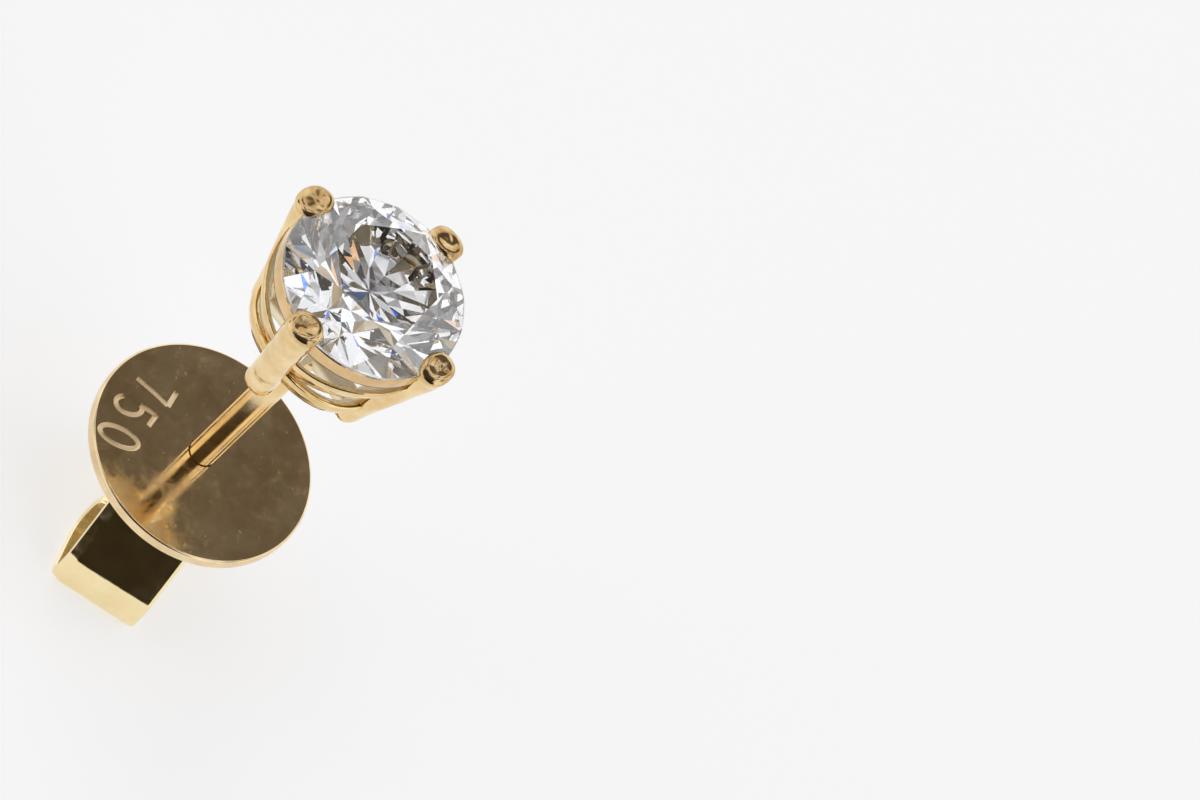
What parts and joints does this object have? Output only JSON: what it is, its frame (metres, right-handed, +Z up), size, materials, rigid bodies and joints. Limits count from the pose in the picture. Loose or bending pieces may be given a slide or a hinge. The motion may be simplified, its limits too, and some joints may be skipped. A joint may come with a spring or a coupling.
{
  "type": "stud earring",
  "caption": "Solitaire stud earring: a round brilliant stone in a prong basket on a straight post, with a disc-backed butterfly clutch that slides on the post.",
  "frame": {"origin": "on the post's axis, at the height of the table that the earring stands on", "axes": "+Z runs up along the post, from the clutch to the stone; the clutch's two wings lie along X"},
  "size_m": [0.0064, 0.0064, 0.0157],
  "materials": {
    "diamond": "polished facets, colourless",
    "yellow_gold": "polished yellow gold with light wear",
    "clutch_gold": "polished yellow gold, finely scratched flat disc"
  },
  "bodies": {
    "earring": {"setting": "yellow_gold", "stone": "diamond"},
    "clutch": {"clutch": "clutch_gold"}
  },
  "joints": [
    {"name": "clutch_slide", "type": "slide", "parent": "earring", "child": "clutch", "axis": [0, 0, -1], "range_m": [-0.0057, 0.0045]}
  ]
}
